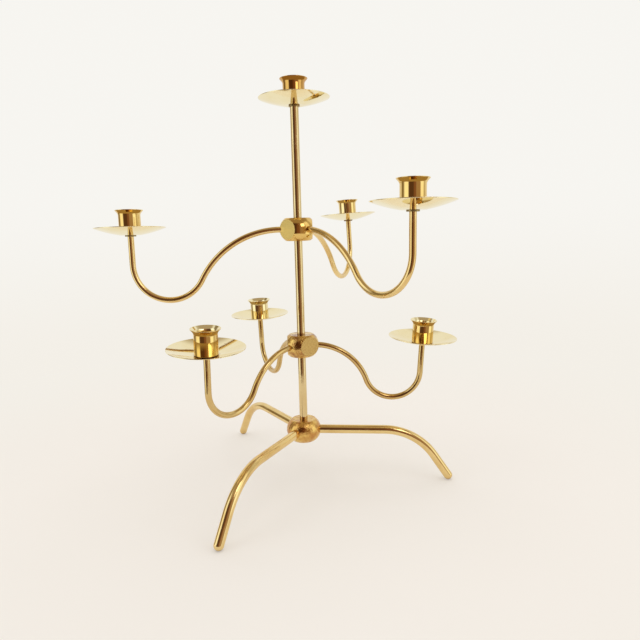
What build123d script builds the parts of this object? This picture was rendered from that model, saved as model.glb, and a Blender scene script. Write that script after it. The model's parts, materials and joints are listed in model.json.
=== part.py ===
from build123d import *
import math
import os

# Seven-light tiered table candelabrum in polished brass, in millimetres.
# Origin: on the table, straight under the centre rod. +Z is up and -Y is the front.
# Three bent legs carry a centre rod made in three lengths that screw together. Two
# knuckles swivel on the joints of the rod, each with three S-shaped arms. Every arm and
# the top of the rod carry a light: a washer, a dished drip pan and a flared candle cup,
# held down by one sunk screw.

# Centre rod
ROD_RADIUS = 5.0
SPIGOT_RADIUS = 3.0
SPIGOT_DEPTH = 12.0
SPIGOT_SPARE = 1.0

# Knuckles: a turned ball with flat ends. The two that swivel have a round facet between
# each two arms.
KNUCKLE_RADIUS = 21.8
KNUCKLE_HALF_HEIGHT = 13.5
KNUCKLE_END_RADIUS = 15.0
KNUCKLE_EDGE = 0.8
FACET_DISTANCE = 17.2
RUNNING_CLEARANCE = 0.05
END_CLEARANCE = 0.05
BASE_HEIGHT = 64.5
LOWER_HEIGHT = 174.0
UPPER_HEIGHT = 315.5

# Compass directions of a knuckle's facets: 0 is to the front and 90 to the right
LOWER_FACETS = (37.0, 157.0, -88.0)
UPPER_FACETS = (-48.0, 90.0, -155.0)

# Legs: a round bar, bent once, with a rounded foot that is worn flat where it stands
LEG_RADIUS = 5.5
LEG_SOCKET = 13.0
LEG_BEND_START = 102.0
LEG_BEND_RADIUS = 74.0
LEG_BEND = 56.0
FOOT_FLAT = 0.4
LEG_DIRECTIONS = {"front": -29.5, "right": 82.5, "back": -148.5}

# Arms: a round bar, bent down and then round and up to its light
ARM_RADIUS = 3.6
ARM_SOCKET = 11.5
ARM_BEND_START = 17.0
UPPER_DROP_RADIUS = 107.4
UPPER_CRADLE_RADIUS = 43.1
LOWER_DROP_RADIUS = 67.0
LOWER_CRADLE_RADIUS = 34.2

# Washer
WASHER_RADIUS = 6.4
WASHER_HEIGHT = 1.4
WASHER_EDGE = 0.3

# Drip pan
PAN_RADIUS = 41.0
PAN_DEPTH = 9.0
PAN_FLAT_RADIUS = 11.5
PAN_SHEET = 0.8
PAN_BELLY = 0.8
PAN_RIM_ROUND = 0.3

# Candle cup, for a 22 mm candle
CANDLE_RADIUS = 11.2
CUP_WALL = 1.5
CUP_FLOOR = 2.5
CUP_BASE_EDGE = 1.5
CUP_STRAIGHT = 22.4
CUP_RIM_RADIUS = 16.1
LIP_SHEET = 0.8
FLARE_RADIUS = 5.0
FLARE_ANGLE = 42.0
CUP_RIM_ROUND = 0.35

# Countersunk screw with a straight slot
SCREW_RADIUS = 2.0
SCREW_LENGTH = 10.0
SCREW_HEAD_RADIUS = 4.0
SCREW_SLOT_WIDTH = 1.0
SCREW_SLOT_DEPTH = 0.9
SCREW_CLEARANCE = 0.1
SCREW_SPARE = 1.5

# Height of the top drip pan's rim
TOP_RIM_HEIGHT = 465.2

# Nut that holds the rod in the base knuckle
NUT_FLATS = 10.0
NUT_HEIGHT = 5.0
RECESS_RADIUS = 7.0
RECESS_DEPTH = 6.0


class Arm:
    """How one arm is bent over its former and then set by hand.

    direction is the compass direction from above. bend is how steep the arm gets between
    its two curves, and upturn is how far the second one turns it past level. rise is the
    straight length below the washer. droop tilts the arm down where it leaves its socket,
    and lean turns it about its socket.
    """

    def __init__(self, direction, bend, upturn, rise, droop, lean):
        self.direction = direction
        self.bend = bend
        self.upturn = upturn
        self.rise = rise
        self.droop = droop
        self.lean = lean


UPPER_ARMS = {
    "right": Arm(direction=36.0, bend=55.6, upturn=91.9, rise=38.1, droop=0.6, lean=1.5),
    "back": Arm(direction=156.2, bend=59.0, upturn=88.4, rise=36.3, droop=-1.1, lean=3.3),
    "left": Arm(direction=-90.3, bend=65.0, upturn=87.1, rise=34.0, droop=-2.6, lean=-2.7),
}
LOWER_ARMS = {
    "front": Arm(direction=-43.5, bend=66.2, upturn=88.3, rise=39.9, droop=-0.4, lean=3.3),
    "right": Arm(direction=85.2, bend=70.9, upturn=87.1, rise=35.4, droop=0.6, lean=-1.7),
    "back": Arm(direction=-155.8, bend=66.2, upturn=90.2, rise=33.5, droop=-0.9, lean=2.3),
}


def save(shape, name):
    export_step(shape, f"parts/{name}.step")


def barrel(radius, bottom, top):
    """A cylinder about the Z axis between two heights."""
    standing = (Align.CENTER, Align.CENTER, Align.MIN)
    return Pos(0, 0, bottom) * Cylinder(radius, top - bottom, align=standing)


def turned(outline):
    """Turns a closed outline, drawn as (radius, height), about the Z axis."""
    face = make_face(outline)
    return revolve(Plane.XZ * face, Axis.Z)


def facing(direction):
    """Turns +X to a compass direction, with +Z still up."""
    return Rot(0, 0, direction - 90)


def bent_bar(path, radius):
    """A round bar along a path that is drawn as (outwards, up)."""
    section = Plane(path @ 0, z_dir=path % 0) * Circle(radius)
    return Rot(90, 0, 0) * sweep(section, path)


def knuckle(height, facets=()):
    """Turned ball with flat ends, and round facets if any, before it is drilled."""
    end = (KNUCKLE_END_RADIUS, KNUCKLE_HALF_HEIGHT)
    foot = (KNUCKLE_END_RADIUS, -KNUCKLE_HALF_HEIGHT)
    outline = Line((0, -KNUCKLE_HALF_HEIGHT), foot)
    outline += ThreePointArc(foot, (KNUCKLE_RADIUS, 0), end)
    outline += Line(end, (0, KNUCKLE_HALF_HEIGHT))
    outline += Line((0, KNUCKLE_HALF_HEIGHT), (0, -KNUCKLE_HALF_HEIGHT))
    ball = turned(outline)
    ends = ball.faces().filter_by(GeomType.PLANE)
    ball = fillet(ends.edges().filter_by(GeomType.CIRCLE), KNUCKLE_EDGE)
    outside = (Align.MIN, Align.CENTER, Align.CENTER)
    slab = Box(KNUCKLE_RADIUS, 3 * KNUCKLE_RADIUS, 3 * KNUCKLE_RADIUS, align=outside)
    for direction in facets:
        ball -= facing(direction) * Pos(FACET_DISTANCE, 0, 0) * slab
    return Pos(0, 0, height) * ball


def arm_path(arm, drop_radius, cradle_radius):
    """Centreline of an arm: socket, bend down, cradle round and up, straight end."""
    socket = Line((ARM_SOCKET, 0), (ARM_BEND_START, 0))
    drop = JernArc(socket @ 1, socket % 1, drop_radius, -arm.bend)
    cradle = JernArc(drop @ 1, drop % 1, cradle_radius, arm.bend + arm.upturn)
    riser = Line(cradle @ 1, cradle @ 1 + cradle % 1 * arm.rise)
    return Wire([socket.edge(), drop.edge(), cradle.edge(), riser.edge()])


def arm_setting(arm, height):
    """Placement of an arm, from its own outwards-and-up plane to its knuckle."""
    hand_set = Pos(ARM_BEND_START, 0, 0) * Rot(0, arm.droop, 0) * Pos(-ARM_BEND_START, 0, 0)
    return Pos(0, 0, height) * facing(arm.direction) * Rot(-arm.lean, 0, 0) * hand_set


def screw_depth():
    """How far a screw goes in below the washer."""
    return SCREW_LENGTH - CUP_FLOOR - PAN_SHEET - WASHER_HEIGHT


def screw_hole():
    """Tapped hole below the end that a light stands on."""
    return barrel(SCREW_RADIUS, -screw_depth() - SCREW_SPARE, 0)


def washer():
    disc = barrel(WASHER_RADIUS, 0, WASHER_HEIGHT)
    disc = fillet(disc.edges(), WASHER_EDGE)
    return disc - barrel(SCREW_RADIUS + SCREW_CLEARANCE, 0, WASHER_HEIGHT)


def drip_pan():
    """Dished sheet with a flat middle, standing on the washer."""
    hole = SCREW_RADIUS + SCREW_CLEARANCE
    halfway = (PAN_FLAT_RADIUS + PAN_RADIUS) / 2
    low = PAN_DEPTH - PAN_SHEET
    sag = low / 2 - PAN_BELLY
    outline = Line((hole, 0), (PAN_FLAT_RADIUS, 0))
    outline += ThreePointArc((PAN_FLAT_RADIUS, 0), (halfway, sag), (PAN_RADIUS, low))
    rim = (PAN_RADIUS + PAN_RIM_ROUND, low + PAN_SHEET / 2)
    outline += ThreePointArc((PAN_RADIUS, low), rim, (PAN_RADIUS, PAN_DEPTH))
    inside = (PAN_FLAT_RADIUS, PAN_SHEET)
    outline += ThreePointArc((PAN_RADIUS, PAN_DEPTH), (halfway, sag + PAN_SHEET), inside)
    outline += Line(inside, (hole, PAN_SHEET))
    outline += Line((hole, PAN_SHEET), (hole, 0))
    return Pos(0, 0, WASHER_HEIGHT) * turned(outline)


def screw_blank():
    """Screw without its slot, with the top of its head at the cup's floor."""
    head = SCREW_HEAD_RADIUS - SCREW_RADIUS
    corners = [
        (0, 0),
        (SCREW_HEAD_RADIUS, 0),
        (SCREW_RADIUS, -head),
        (SCREW_RADIUS, -SCREW_LENGTH),
        (0, -SCREW_LENGTH),
    ]
    floor = WASHER_HEIGHT + PAN_SHEET + CUP_FLOOR
    return Pos(0, 0, floor) * turned(Polyline(*corners, close=True))


def screw():
    floor = WASHER_HEIGHT + PAN_SHEET + CUP_FLOOR
    hanging = (Align.CENTER, Align.CENTER, Align.MAX)
    slot = Box(3 * SCREW_HEAD_RADIUS, SCREW_SLOT_WIDTH, SCREW_SLOT_DEPTH, align=hanging)
    return screw_blank() - Pos(0, 0, floor) * slot


def candle_cup():
    """Straight cup with a rounded foot, and a flared lip that is thinner than the wall."""
    radius = CANDLE_RADIUS + CUP_WALL
    middle = radius + FLARE_RADIUS
    turn = math.radians(FLARE_ANGLE)
    lip = Vector(math.sin(turn), math.cos(turn))
    outer_bend = Vector(middle - FLARE_RADIUS * lip.Y, CUP_STRAIGHT + FLARE_RADIUS * lip.X)
    inner_radius = FLARE_RADIUS + CUP_WALL
    bore_top = CUP_STRAIGHT - (CUP_WALL - LIP_SHEET) / lip.X
    outer_rim = outer_bend + lip * ((CUP_RIM_RADIUS - outer_bend.X) / lip.X)
    inner_rim = outer_rim + Vector(-lip.Y, lip.X) * LIP_SHEET
    round_top = (outer_rim + inner_rim) * 0.5 + lip * CUP_RIM_ROUND

    outline = Line((0, 0), (radius - CUP_BASE_EDGE, 0))
    foot = JernArc(outline @ 1, (1, 0), CUP_BASE_EDGE, 90)
    outer_wall = Line(foot @ 1, (radius, CUP_STRAIGHT))
    outer_flare = JernArc(outer_wall @ 1, (0, 1), FLARE_RADIUS, -FLARE_ANGLE)
    inner_wall = Line((CANDLE_RADIUS, bore_top), (CANDLE_RADIUS, CUP_FLOOR))
    inner_flare = JernArc(inner_wall @ 0, (0, 1), inner_radius, -FLARE_ANGLE)
    outline += foot
    outline += outer_wall
    outline += outer_flare
    outline += Line(outer_flare @ 1, outer_rim)
    outline += ThreePointArc(outer_rim, round_top, inner_rim)
    outline += Line(inner_rim, inner_flare @ 1)
    outline += inner_flare
    outline += inner_wall
    outline += Line(inner_wall @ 1, (0, CUP_FLOOR))
    outline += Line((0, CUP_FLOOR), (0, 0))
    cup = Pos(0, 0, WASHER_HEIGHT + PAN_SHEET) * turned(outline)
    return cup - screw_blank()


WASHER = washer()
PAN = drip_pan()
CUP = candle_cup()
SCREW = screw()


def add_light(setting, name):
    """Puts the four pieces of a light where setting takes the end below its washer."""
    save(setting * WASHER, f"washer_{name}")
    save(setting * PAN, f"pan_{name}")
    save(setting * CUP, f"cup_{name}")
    save(setting * SCREW, f"screw_{name}")


def leg(direction):
    """Bent round bar from its socket to the rounded foot."""
    turn = math.radians(LEG_BEND)
    foot_height = LEG_RADIUS - FOOT_FLAT
    fall = BASE_HEIGHT - foot_height - LEG_BEND_RADIUS * (1 - math.cos(turn))
    level = Line((LEG_SOCKET, 0), (LEG_BEND_START, 0))
    bend = JernArc(level @ 1, level % 1, LEG_BEND_RADIUS, -LEG_BEND)
    shin = Line(bend @ 1, bend @ 1 + bend % 1 * (fall / math.sin(turn)))
    bar = bent_bar(Wire([level.edge(), bend.edge(), shin.edge()]), LEG_RADIUS)
    toe = shin @ 1
    bar += Pos(toe.X, 0, toe.Y) * Sphere(LEG_RADIUS)
    bar = Pos(0, 0, BASE_HEIGHT) * facing(direction) * bar
    table = Box(1000, 1000, 100, align=(Align.CENTER, Align.CENTER, Align.MAX))
    return bar - table


def light_setting(arm, drop_radius, cradle_radius, height):
    """Placement of the light on an arm's end."""
    end = arm_path(arm, drop_radius, cradle_radius) @ 1
    upright = Rot(0, 90 - arm.upturn, 0)
    return arm_setting(arm, height) * Pos(end.X, 0, end.Y) * upright


def add_tier(tier, arms, drop_radius, cradle_radius, height, facets):
    """A swivelling knuckle with its three arms and their lights."""
    middle = knuckle(height, facets)
    middle -= barrel(SPIGOT_RADIUS + RUNNING_CLEARANCE, height - 30, height + 30)
    for side, arm in arms.items():
        bar = bent_bar(arm_path(arm, drop_radius, cradle_radius), ARM_RADIUS)
        bar = arm_setting(arm, height) * bar
        setting = light_setting(arm, drop_radius, cradle_radius, height)
        middle -= bar
        save(bar - setting * screw_hole(), f"arm_{tier}_{side}")
        add_light(setting, f"{tier}_{side}")
    save(middle, f"knuckle_{tier}")


def add_base():
    """Base knuckle with its three legs, and the nut on the rod's lower end."""
    under = BASE_HEIGHT - KNUCKLE_HALF_HEIGHT
    middle = knuckle(BASE_HEIGHT)
    middle -= barrel(SPIGOT_RADIUS, under, BASE_HEIGHT + KNUCKLE_HALF_HEIGHT)
    middle -= barrel(RECESS_RADIUS, under, under + RECESS_DEPTH)
    for side, direction in LEG_DIRECTIONS.items():
        bar = leg(direction)
        middle -= bar
        save(bar, f"leg_{side}")
    save(middle, "knuckle_base")

    flats = RegularPolygon(NUT_FLATS / 2, 6, major_radius=False)
    nut = extrude(flats, NUT_HEIGHT) - barrel(SPIGOT_RADIUS, 0, NUT_HEIGHT)
    save(Pos(0, 0, under + RECESS_DEPTH - NUT_HEIGHT) * nut, "nut_base")


def add_rod():
    """Three lengths of rod. Each spigot goes through a knuckle into the length below."""
    seat = KNUCKLE_HALF_HEIGHT + END_CLEARANCE
    hole = SPIGOT_DEPTH + SPIGOT_SPARE
    base_top = BASE_HEIGHT + KNUCKLE_HALF_HEIGHT
    lower_seat = LOWER_HEIGHT - seat
    upper_seat = UPPER_HEIGHT - seat
    nut_bottom = BASE_HEIGHT - KNUCKLE_HALF_HEIGHT + RECESS_DEPTH - NUT_HEIGHT
    top = TOP_RIM_HEIGHT - PAN_DEPTH - WASHER_HEIGHT

    lower = barrel(ROD_RADIUS, base_top, lower_seat)
    lower += barrel(SPIGOT_RADIUS, nut_bottom, base_top)
    lower -= barrel(SPIGOT_RADIUS, lower_seat - hole, lower_seat)
    save(lower, "rod_lower")

    middle = barrel(ROD_RADIUS, LOWER_HEIGHT + seat, upper_seat)
    middle += barrel(SPIGOT_RADIUS, lower_seat - SPIGOT_DEPTH, LOWER_HEIGHT + seat)
    middle -= barrel(SPIGOT_RADIUS, upper_seat - hole, upper_seat)
    save(middle, "rod_middle")

    upper = barrel(ROD_RADIUS, UPPER_HEIGHT + seat, top)
    upper += barrel(SPIGOT_RADIUS, upper_seat - SPIGOT_DEPTH, UPPER_HEIGHT + seat)
    upper -= Pos(0, 0, top) * screw_hole()
    save(upper, "rod_upper")
    add_light(Pos(0, 0, top), "top")


os.makedirs("parts", exist_ok=True)
add_base()
add_rod()
add_tier("lower", LOWER_ARMS, LOWER_DROP_RADIUS, LOWER_CRADLE_RADIUS, LOWER_HEIGHT, LOWER_FACETS)
add_tier("upper", UPPER_ARMS, UPPER_DROP_RADIUS, UPPER_CRADLE_RADIUS, UPPER_HEIGHT, UPPER_FACETS)
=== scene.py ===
import json
import math

import bpy
from mathutils import Matrix, Vector

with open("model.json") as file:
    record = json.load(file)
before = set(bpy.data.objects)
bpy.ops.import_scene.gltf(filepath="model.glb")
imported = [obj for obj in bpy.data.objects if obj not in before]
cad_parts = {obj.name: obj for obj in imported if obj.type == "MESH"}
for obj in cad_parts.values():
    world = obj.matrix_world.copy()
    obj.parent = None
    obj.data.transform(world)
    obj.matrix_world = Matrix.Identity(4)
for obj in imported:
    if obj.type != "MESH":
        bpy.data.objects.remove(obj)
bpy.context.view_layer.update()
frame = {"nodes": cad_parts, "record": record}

# Tiered brass candelabrum. Every piece of it is a CAD node, so this script gives the
# nodes their finishes and makes the studio around them. Lengths are in metres and angles
# in degrees.

# Camera, at the photograph's viewing angle, with its lens and sensor in millimetres
CAMERA_PLACE = (0.0, -0.6687, 0.3231)
CAMERA_YAW = 2.04
CAMERA_PITCH = -10.06
CAMERA_ROLL = -1.39
CAMERA_LENS = 30.98
CAMERA_SENSOR = 36.0

# Names that the lights' nodes end in
LIGHTS = [node[len("cup_"):] for node in sorted(frame["nodes"]) if node.startswith("cup_")]
MOUNTS = {mount["name"]: mount for mount in frame["record"]["mounts"]}


class Shader:
    """A new material, and short ways to add and join its nodes."""

    def __init__(self, name):
        self.material = bpy.data.materials.new(name)
        self.material.use_nodes = True
        self.tree = self.material.node_tree
        self.surface = self.tree.nodes["Principled BSDF"]
        self.output = self.tree.nodes["Material Output"]

    def add(self, kind, inputs=None, **settings):
        """Adds a node. inputs maps a socket's name or number to a value or another socket."""
        node = self.tree.nodes.new("ShaderNode" + kind)
        for key, value in settings.items():
            setattr(node, key, value)
        for key, value in (inputs or {}).items():
            self.join(value, node.inputs[key])
        return node

    def join(self, value, socket):
        """Links another socket to this one, or sets a plain value on it."""
        if isinstance(value, bpy.types.NodeSocket):
            self.tree.links.new(value, socket)
        else:
            socket.default_value = value

    def set(self, name, value):
        """Gives the surface's own socket a value."""
        self.join(value, self.surface.inputs[name])

    def joined(self, name):
        """What is linked to the surface's own socket."""
        return self.surface.inputs[name].links[0].from_socket

    def math(self, operation, a, b=0.0):
        return self.add("Math", {0: a, 1: b}, operation=operation).outputs[0]

    def ramp(self, value, low, high, to_low=0.0, to_high=1.0):
        """Smoothly takes low..high to to_low..to_high, and clamps."""
        node = self.add(
            "MapRange",
            {0: value, 1: low, 2: high, 3: to_low, 4: to_high},
            interpolation_type="SMOOTHSTEP",
        )
        return node.outputs[0]

    def mix(self, factor, a, b):
        """Goes from colour a to colour b as factor goes from 0 to 1."""
        node = self.add("Mix", data_type="RGBA")
        self.join(factor, node.inputs[0])
        self.join(a, node.inputs[6])
        self.join(b, node.inputs[7])
        return node.outputs[2]

    def noise(self, place, scale, detail, roughness=0.55):
        node = self.add(
            "TexNoise",
            {"Vector": place, "Scale": scale, "Detail": detail, "Roughness": roughness},
        )
        return node.outputs["Fac"]

    def place(self):
        """The row frame's coordinates, which a piece keeps as it moves."""
        return self.add("TexCoord").outputs["Object"]

    def facing(self, aim, span):
        """0 to 1 as the cosine of the surface's angle to aim goes through a span."""
        normal = self.add("TexCoord").outputs["Normal"]
        dot = self.add("VectorMath", {0: normal, 1: aim}, operation="DOT_PRODUCT")
        return self.ramp(dot.outputs["Value"], *span)


# Colours of brass that has browned by different amounts
# PALE is partly painted highlight: the pans and the upward faces of cups are made pale for the
# bright light they mirror
PALE = (0.93, 0.82, 0.52, 1.0)
PALE_WARM = (0.89, 0.75, 0.42, 1.0)
BRIGHT = (0.86, 0.62, 0.23, 1.0)
WARM = (0.76, 0.50, 0.16, 1.0)
BAR = (0.78, 0.62, 0.33, 1.0)
BAR_WARM = (0.70, 0.52, 0.25, 1.0)
DEEP = (0.85, 0.64, 0.29, 1.0)
DEEP_WARM = (0.74, 0.50, 0.19, 1.0)
LOW = (0.70, 0.51, 0.22, 1.0)
LOW_WARM = (0.60, 0.40, 0.15, 1.0)
BROWNED = (0.80, 0.54, 0.17, 1.0)
BROWNED_WARM = (0.66, 0.40, 0.11, 1.0)
OLD_WARM = (0.58, 0.28, 0.08, 1.0)
OLD_DARK = (0.38, 0.17, 0.06, 1.0)
DULL = (0.42, 0.37, 0.20, 1.0)
# The dark of specks and washers, and also the colour of the painted shade in corners
TARNISH_AND_SHADE = (0.30, 0.15, 0.04, 1.0)

# Marks on all the brass. A noise is its scale, detail and roughness: at a scale of 100 its
# marks are about 10 mm across. A span is the part of the noise over which they fade in. A
# tint is how far they take the colour towards TARNISH_AND_SHADE, and a roughness is what
# they add to the surface's. Corners get painted shade and more roughness, as far out as
# their reach, and waves are the slight unevenness of a polished surface.
PATCH_SCALE = 22.0
PATCH_DETAIL = 5.0
PATCH_SPAN = (0.38, 0.66)
SMUDGE_NOISE = (95.0, 6.0, 0.65)
SMUDGE_SPAN = (0.42, 0.72)
SPECK_NOISE = (620.0, 3.0, 0.6)
SPECK_SPAN = (0.68, 0.78)
SPECK_TINT = 0.55
SPECK_ROUGHNESS = 0.2
CORNER_SHADE_REACH = 0.004
CORNER_SHADE_SPAN = (0.25, 0.75)
CORNER_SHADE_TINT = 0.6
CORNER_ROUGHNESS = 0.25
WAVE_NOISE = (45.0, 2.0)
WAVE_DEPTH = 0.00004
EDGE_RADIUS = 0.0003
NODE_SAMPLES = 4

# Least and greatest roughness of each finish, where it is clean and where it is smudged
BAR_ROUGHNESS = (0.09, 0.22)
PAN_ROUGHNESS = (0.035, 0.1)
CUP_ROUGHNESS = (0.03, 0.09)
WASHER_ROUGHNESS = (0.3, 0.45)
SCREW_ROUGHNESS = (0.25, 0.4)
BASE_ROUGHNESS = (0.08, 0.22)
TIER_ROUGHNESS = (0.07, 0.18)


def brass(name, grain, roughness, bright, warm, edge=EDGE_RADIUS, patches=PATCH_SCALE):
    """Polished brass with handling marks, going from bright to warm in patches.

    grain gives the height and depth of its tool marks, and edge is how far its edges are
    rounded. patches is about how many of them there are in a metre.
    """
    shader = Shader(name)
    place = shader.place()
    blotches = shader.ramp(shader.noise(place, patches, PATCH_DETAIL), *PATCH_SPAN)
    smudges = shader.ramp(shader.noise(place, *SMUDGE_NOISE), *SMUDGE_SPAN)
    specks = shader.ramp(shader.noise(place, *SPECK_NOISE), *SPECK_SPAN)
    shade = shader.mix(blotches, bright, warm)
    shade = shader.mix(shader.math("MULTIPLY", specks, SPECK_TINT), shade, TARNISH_AND_SHADE)
    # Painted shade: corners that ambient occlusion finds are darkened towards TARNISH_AND_SHADE
    # and made rougher
    corner = shader.add("AmbientOcclusion", {"Distance": CORNER_SHADE_REACH}, samples=NODE_SAMPLES)
    corner_shade = shader.ramp(corner.outputs["AO"], *CORNER_SHADE_SPAN, CORNER_SHADE_TINT, 0.0)
    shade = shader.mix(corner_shade, shade, TARNISH_AND_SHADE)
    shader.set("Base Color", shade)
    shader.set("Metallic", 1.0)
    rough = shader.ramp(smudges, 0.0, 1.0, *roughness)
    rough = shader.math("ADD", rough, shader.math("MULTIPLY", corner_shade, CORNER_ROUGHNESS))
    rough = shader.math("ADD", rough, shader.math("MULTIPLY", specks, SPECK_ROUGHNESS))
    shader.set("Roughness", rough)
    edges = shader.add("Bevel", {"Radius": edge}, samples=NODE_SAMPLES)
    height, depth = grain(shader)
    marks = shader.add(
        "Bump",
        {"Height": height, "Distance": depth, "Strength": 1.0, "Normal": edges.outputs[0]},
    )
    waves = shader.add(
        "Bump",
        {
            "Height": shader.noise(place, *WAVE_NOISE),
            "Distance": WAVE_DEPTH,
            "Strength": 1.0,
            "Normal": marks.outputs[0],
        },
    )
    shader.set("Normal", waves.outputs[0])
    return shader


# Tool marks: the noise or waves that shape them, and how deep they are
SCRATCH_NOISE = (900.0, 3.0, 0.6)
SCRATCH_DEPTH = 0.0000012
PIT_NOISE = (180.0, 4.0, 0.6)
PIT_DEPTH = 0.0011
RING_WAVES = {"Scale": 520.0, "Distortion": 0.6, "Detail": 2.0}
RING_DEPTH = 0.0000015
TURNED_NOISE = (1400.0, 2.0)
TURNED_STRETCH = (20.0, 20.0, 1.0)
TURNED_DEPTH = 0.000001


def drawn_grain(shader):
    """Fine scratches of a drawn and polished bar, in every direction."""
    return shader.noise(shader.place(), *SCRATCH_NOISE), SCRATCH_DEPTH


def cast_grain(shader):
    """Shallow pits and lumps of a casting that was polished little."""
    return shader.noise(shader.place(), *PIT_NOISE), PIT_DEPTH


def about_light(shader, light, stretch=(1.0, 1.0, 1.0)):
    """Coordinates about a light's candle, turned so that +Z is its own axis."""
    mount = MOUNTS["candle_" + light]
    turn = Vector(mount["axis"]).to_track_quat("Z", "Y").to_euler()
    node = shader.add(
        "Mapping",
        {"Vector": shader.place(), "Location": mount["pos_m"], "Rotation": turn, "Scale": stretch},
        vector_type="TEXTURE",
    )
    return node.outputs[0]


def ring_grain(light):
    """Rings that a lathe leaves around a light's own axis."""

    def grain(shader):
        rings = shader.add(
            "TexWave",
            {"Vector": about_light(shader, light), **RING_WAVES},
            wave_type="RINGS",
            rings_direction="Z",
        )
        return rings.outputs["Fac"], RING_DEPTH

    return grain


def turned_grain(light):
    """Fine level rings around a cup's wall."""

    def grain(shader):
        about = about_light(shader, light, TURNED_STRETCH)
        return shader.noise(about, *TURNED_NOISE), TURNED_DEPTH

    return grain


def dress(node, shader):
    """Gives a CAD node its finish."""
    slots = frame["nodes"][node].data.materials
    slots.clear()
    slots.append(shader.material)


# Bright and warm colours of the bars, by what their nodes' names start with
BAR_TONES = {
    "rod_": (BAR, BAR_WARM),
    "leg_": (DEEP, DEEP_WARM),
    "arm_upper_": (DEEP, DEEP_WARM),
    "arm_lower_": (LOW, LOW_WARM),
}


def dress_bars():
    """The lower arms have gone a little browner than the other bars."""
    for start, tones in BAR_TONES.items():
        bar = brass("brass_" + start + "bar", drawn_grain, BAR_ROUGHNESS, *tones)
        for node in frame["nodes"]:
            if node.startswith(start):
                dress(node, bar)


# Compass directions of the tier knuckles' facets: 0 is to the front and 90 to the right.
# The base knuckle has none.
FACETS = {
    "lower": (37.0, 157.0, -88.0),
    "upper": (-48.0, 90.0, -155.0),
}

# Colours of the facets, which are filed flat and left matt
FILED = {
    "lower": (0.64, 0.44, 0.16, 1.0),
    "upper": (0.84, 0.66, 0.24, 1.0),
}
FILED_ROUGHNESS = 0.5
FACET_COSINES = (0.985, 0.995)
KNUCKLE_EDGE = 0.0006
KNUCKLE_PATCHES = 85.0


def file_facets(ball, tier):
    """Makes the upright flats of a tier's knuckle matt, in a colour of their own."""
    flat = 0.0
    for direction in FACETS[tier]:
        way = math.radians(direction)
        aim = (math.sin(way), -math.cos(way), 0.0)
        flat = ball.math("MAXIMUM", ball.facing(aim, FACET_COSINES), flat)
    ball.set("Base Color", ball.mix(flat, ball.joined("Base Color"), FILED[tier]))
    matt = ball.math("MULTIPLY", flat, FILED_ROUGHNESS)
    ball.set("Roughness", ball.math("MAXIMUM", ball.joined("Roughness"), matt))


def dress_knuckles():
    """The lower two knuckles are older and browner than the upper one."""
    finishes = {
        "base": (cast_grain, BASE_ROUGHNESS, BROWNED, OLD_WARM),
        "lower": (cast_grain, TIER_ROUGHNESS, BROWNED, OLD_DARK),
        "upper": (drawn_grain, TIER_ROUGHNESS, BROWNED, BROWNED_WARM),
    }
    for tier, finish in finishes.items():
        ball = brass("brass_knuckle_" + tier, *finish, edge=KNUCKLE_EDGE, patches=KNUCKLE_PATCHES)
        dress("knuckle_" + tier, ball)
        if tier in FACETS:
            file_facets(ball, tier)


# Bright and warm colours of the cups, for those that have browned more or less than most
CUP_TONES = {
    "top": (BROWNED_WARM, OLD_WARM),
    "upper_back": (PALE_WARM, BRIGHT),
    "lower_back": (PALE_WARM, BRIGHT),
}
MOST_CUPS = (BRIGHT, WARM)
UPWARD_REFLECTION_COSINES = (0.3, 0.6)


def dress_lights():
    """A cup gets a painted pale reflection where it faces up its own axis, as the inside of its
    lip does.
    """
    for light in LIGHTS:
        # The pans' pale colours are partly their own tone and partly painted highlight for the
        # bright light they mirror
        pan = brass("brass_pan_" + light, ring_grain(light), PAN_ROUGHNESS, PALE, PALE_WARM)
        dress("pan_" + light, pan)
        tones = CUP_TONES.get(light, MOST_CUPS)
        cup = brass("brass_cup_" + light, turned_grain(light), CUP_ROUGHNESS, *tones)
        # Painted reflection: faces turned up the cup's axis go towards the pale colour, as if they
        # mirrored the white wall
        upward_reflection = cup.facing(MOUNTS["candle_" + light]["axis"], UPWARD_REFLECTION_COSINES)
        cup.set("Base Color", cup.mix(upward_reflection, cup.joined("Base Color"), PALE))
        dress("cup_" + light, cup)
    washer = brass("brass_washer", drawn_grain, WASHER_ROUGHNESS, DULL, TARNISH_AND_SHADE)
    screw = brass("brass_screw", drawn_grain, SCREW_ROUGHNESS, BRIGHT, WARM)
    for light in LIGHTS:
        dress("washer_" + light, washer)
        dress("screw_" + light, screw)
    dress("nut_base", screw)


def add_camera():
    data = bpy.data.cameras.new("camera")
    data.lens = CAMERA_LENS
    data.sensor_width = CAMERA_SENSOR
    camera = bpy.data.objects.new("camera", data)
    bpy.context.scene.collection.objects.link(camera)
    yaw = Matrix.Rotation(math.radians(-CAMERA_YAW), 3, "Z")
    tilt = Matrix.Rotation(math.radians(90 + CAMERA_PITCH), 3, "X")
    roll = Matrix.Rotation(math.radians(CAMERA_ROLL), 3, "Z")
    camera.matrix_world = Matrix.Translation(CAMERA_PLACE) @ (yaw @ tilt @ roll).to_4x4()
    bpy.context.scene.camera = camera


# The table top is a disc that every ray sees, and the floor goes on round it, which the
# brass doesn't mirror. Round that a backdrop, which only the camera sees, curves up with
# no edge. The brass mirrors the room, which is the world. A turned sheet is made of rings,
# so the disc has a pin hole at its centre, too small to see.
PIN_HOLE = 0.00005
TABLE_MIDDLE = 0.2
TABLE_RADIUS = 0.48
FLOOR_RADIUS = 0.8
COVE_RADIUS = 1.6
WALL_HEIGHT = 3.2
ARC_STEPS = 24
ROUND_STEPS = 96

FLOOR_NEAR = (0.86, 0.84, 0.83, 1.0)
FLOOR_FAR = (0.85, 0.83, 0.81, 1.0)
FLOOR_EDGE_SEEN = (0.90, 0.865, 0.80, 1.0)
WALL_SHADE = (0.93, 0.915, 0.875, 1.0)

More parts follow.
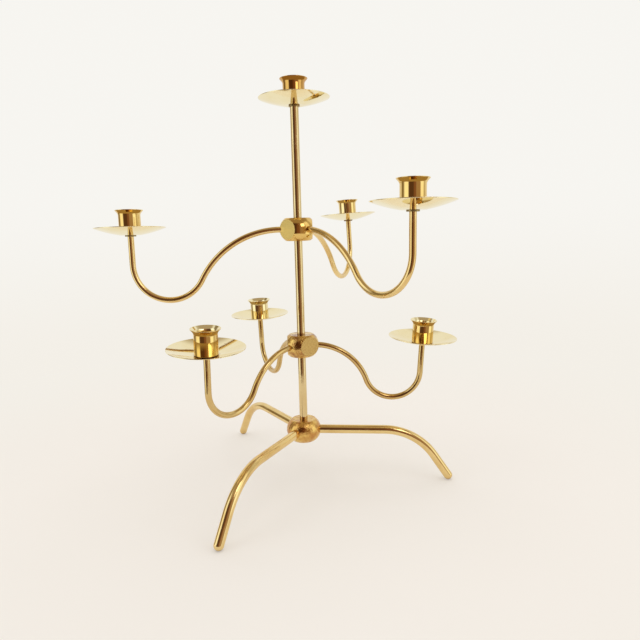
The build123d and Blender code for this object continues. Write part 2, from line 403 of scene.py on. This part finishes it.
# How far from the rod the paper starts to change colour, and starts to glow, and how much
# it glows there and at the floor's edge
FLOOR_SHADE_START = 0.25
FLOOR_GLOW_START = 0.2
FLOOR_GLOW = (0.4, 1.0)
FLOOR_ROUGHNESS = 0.9
FLOOR_SPECULAR = 0.1
FIBRE_NOISE = (900.0, 3.0)
FIBRE_DEPTH = 0.00003
FIBRE_STRENGTH = 0.4

# Where the backdrop is fully the wall's shade: how far out it is plus how far up
WALL_SHADE_REACHED = 2.4


def lathe(name, profile):
    """Turns (radius, height) points about the Z axis into a smooth sheet."""
    points = []
    faces = []
    for radius, height in profile:
        for step in range(ROUND_STEPS):
            turn = 2 * math.pi * step / ROUND_STEPS
            points.append((radius * math.cos(turn), radius * math.sin(turn), height))
    for ring in range(len(profile) - 1):
        inner = ring * ROUND_STEPS
        outer = inner + ROUND_STEPS
        for step in range(ROUND_STEPS):
            after = (step + 1) % ROUND_STEPS
            faces.append((inner + step, outer + step, outer + after, inner + after))
    mesh = bpy.data.meshes.new(name)
    mesh.from_pydata(points, [], faces)
    mesh.polygons.foreach_set("use_smooth", [True] * len(faces))
    sheet = bpy.data.objects.new(name, mesh)
    bpy.context.scene.collection.objects.link(sheet)
    return sheet


def reach_of(shader):
    """How far a point is from the centre rod's axis."""
    split = shader.add("SeparateXYZ", {0: shader.place()})
    flat = shader.add("CombineXYZ", {0: split.outputs["X"], 1: split.outputs["Y"]})
    return shader.add("VectorMath", {0: flat.outputs[0]}, operation="LENGTH").outputs["Value"]


def add_floor():
    """Matt pale paper, which goes over to the backdrop's glow further out."""
    table = lathe("table_top", [(PIN_HOLE, 0.0), (TABLE_MIDDLE, 0.0), (TABLE_RADIUS, 0.0)])
    floor = lathe("floor", [(TABLE_RADIUS, 0.0), (FLOOR_RADIUS, 0.0)])
    floor.visible_glossy = False
    shader = Shader("floor_paper")
    out = shader.ramp(reach_of(shader), FLOOR_SHADE_START, FLOOR_RADIUS)
    shader.set("Base Color", shader.mix(out, FLOOR_NEAR, FLOOR_FAR))
    shader.set("Roughness", FLOOR_ROUGHNESS)
    shader.set("Specular IOR Level", FLOOR_SPECULAR)
    fibres = shader.noise(shader.place(), *FIBRE_NOISE)
    bump = shader.add(
        "Bump", {"Height": fibres, "Distance": FIBRE_DEPTH, "Strength": FIBRE_STRENGTH}
    )
    shader.set("Normal", bump.outputs[0])
    edge = shader.ramp(reach_of(shader), FLOOR_GLOW_START, FLOOR_RADIUS, *FLOOR_GLOW)
    glow = shader.add("Emission", {"Color": FLOOR_EDGE_SEEN, "Strength": 1.0})
    both = shader.add(
        "MixShader", {0: edge, 1: shader.surface.outputs[0], 2: glow.outputs[0]}
    )
    shader.join(both.outputs[0], shader.output.inputs["Surface"])
    table.data.materials.append(shader.material)
    floor.data.materials.append(shader.material)


def add_backdrop():
    """A cove and a wall that glow a little paler as they go out and up."""
    profile = []
    for step in range(ARC_STEPS + 1):
        turn = math.pi / 2 * step / ARC_STEPS
        out = FLOOR_RADIUS + COVE_RADIUS * math.sin(turn)
        profile.append((out, COVE_RADIUS * (1 - math.cos(turn))))
    profile.append((FLOOR_RADIUS + COVE_RADIUS, WALL_HEIGHT))
    backdrop = lathe("backdrop", profile)
    shader = Shader("backdrop_paper")
    split = shader.add("SeparateXYZ", {0: shader.place()})
    climb = shader.math("ADD", reach_of(shader), split.outputs["Z"])
    paler = shader.ramp(climb, FLOOR_RADIUS, WALL_SHADE_REACHED)
    shade = shader.mix(paler, FLOOR_EDGE_SEEN, WALL_SHADE)
    glow = shader.add("Emission", {"Color": shade, "Strength": 1.0})
    shader.join(glow.outputs[0], shader.output.inputs["Surface"])
    backdrop.data.materials.append(shader.material)
    backdrop.visible_diffuse = False
    backdrop.visible_glossy = False
    backdrop.visible_transmission = False
    backdrop.visible_shadow = False


# The room round the table, which is a guess at what the brass mirrors in the photograph
ROOM_WHITE = (0.90, 0.89, 0.86, 1.0)
ROOM_WINDOW = (1.25, 1.3, 1.25, 1.0)
ROOM_DIM = (0.66, 0.62, 0.52, 1.0)
ROOM_SHADE = (0.28, 0.22, 0.13, 1.0)
ROOM_BROWN = (0.42, 0.29, 0.19, 1.0)
ROOM_RUST = (0.24, 0.11, 0.06, 1.0)
ROOM_DARK = (0.11, 0.055, 0.032, 1.0)
CEILING = (0.44, 0.35, 0.24, 1.0)

# Bands of its white walls: the compass directions that each goes from and to, how soft its
# ends are, and its colour. A later band covers an earlier one.
ROOM_BANDS = (
    (-124.0, -95.0, 5.0, ROOM_SHADE),
    (86.0, 108.0, 5.0, ROOM_DIM),
    (-86.0, -54.0, 5.0, ROOM_WINDOW),
    (54.0, 82.0, 4.0, ROOM_WINDOW),
    (14.0, 52.0, 4.0, ROOM_BROWN),
    (-20.0, 16.0, 6.0, ROOM_RUST),
    (-50.0, -6.0, 6.0, ROOM_DARK),
)

# How high up the walls give way to the ceiling
CEILING_SPAN = (44.0, 58.0)
DEGREES = 180 / math.pi


class World(Shader):
    """The same ways to join nodes, in the world's tree."""

    def __init__(self, name):
        world = bpy.data.worlds.new(name)
        world.use_nodes = True
        self.tree = world.node_tree
        self.surface = self.tree.nodes["Background"]
        bpy.context.scene.world = world

    def between(self, value, low, high, soft):
        """1 between low and high, and 0 outside, with soft edges."""
        rise = self.ramp(value, low - soft, low + soft)
        fall = self.ramp(value, high - soft, high + soft, 1.0, 0.0)
        return self.math("MULTIPLY", rise, fall)


def add_room():
    """White walls with a window each side, a dark end in front and a brown ceiling."""
    room = World("room")
    split = room.add("SeparateXYZ", {0: room.add("TexCoord").outputs["Generated"]})
    x, y, z = split.outputs
    front = room.math("MULTIPLY", y, -1.0)
    turn = room.math("MULTIPLY", room.math("ARCTAN2", x, front), DEGREES)
    climb = room.math("MULTIPLY", room.math("ARCSINE", z), DEGREES)
    walls = ROOM_WHITE
    for low, high, soft, colour in ROOM_BANDS:
        walls = room.mix(room.between(turn, low, high, soft), walls, colour)
    shade = room.mix(room.ramp(climb, *CEILING_SPAN), walls, CEILING)
    room.set("Color", shade)
    room.set("Strength", 1.0)


# A lamp's soft box, up to the right of the camera, that only the brass sees
BOX_PLACE = (0.40, -0.60, 0.78)
BOX_AIM = (0.0, 0.0, 0.2)
BOX_WIDTH = 0.33
BOX_HEIGHT = 0.35
BOX_POWER = 2.6
BOX_COLOUR = (1.0, 0.97, 0.92, 1.0)


def add_soft_box():
    x, y = BOX_WIDTH / 2, BOX_HEIGHT / 2
    mesh = bpy.data.meshes.new("soft_box")
    mesh.from_pydata([(-x, -y, 0), (x, -y, 0), (x, y, 0), (-x, y, 0)], [], [(0, 1, 2, 3)])
    box = bpy.data.objects.new("soft_box", mesh)
    bpy.context.scene.collection.objects.link(box)
    aim = Vector(BOX_AIM) - Vector(BOX_PLACE)
    box.location = BOX_PLACE
    box.rotation_euler = aim.to_track_quat("Z", "Y").to_euler()
    shader = Shader("soft_box")
    glow = shader.add("Emission", {"Color": BOX_COLOUR, "Strength": BOX_POWER})
    shader.join(glow.outputs[0], shader.output.inputs["Surface"])
    mesh.materials.append(shader.material)
    box.visible_camera = False
    box.visible_diffuse = False
    box.visible_shadow = False


OVERHEAD_PLACE = (0.1, 0.0, 1.8)
OVERHEAD_SIZE = 3.4
OVERHEAD_POWER = 29.5
OVERHEAD_COLOUR = (1.0, 0.99, 0.985)


def add_overhead():
    """Soft light from above, which the brass doesn't mirror."""
    data = bpy.data.lights.new("overhead", "AREA")
    data.shape = "DISK"
    data.size = OVERHEAD_SIZE
    data.energy = OVERHEAD_POWER
    data.color = OVERHEAD_COLOUR
    light = bpy.data.objects.new("overhead", data)
    bpy.context.scene.collection.objects.link(light)
    light.location = OVERHEAD_PLACE
    light.visible_glossy = False


add_camera()
dress_bars()
dress_knuckles()
dress_lights()
add_floor()
add_backdrop()
add_room()
add_soft_box()
add_overhead()
bpy.context.scene.view_settings.view_transform = "Standard"
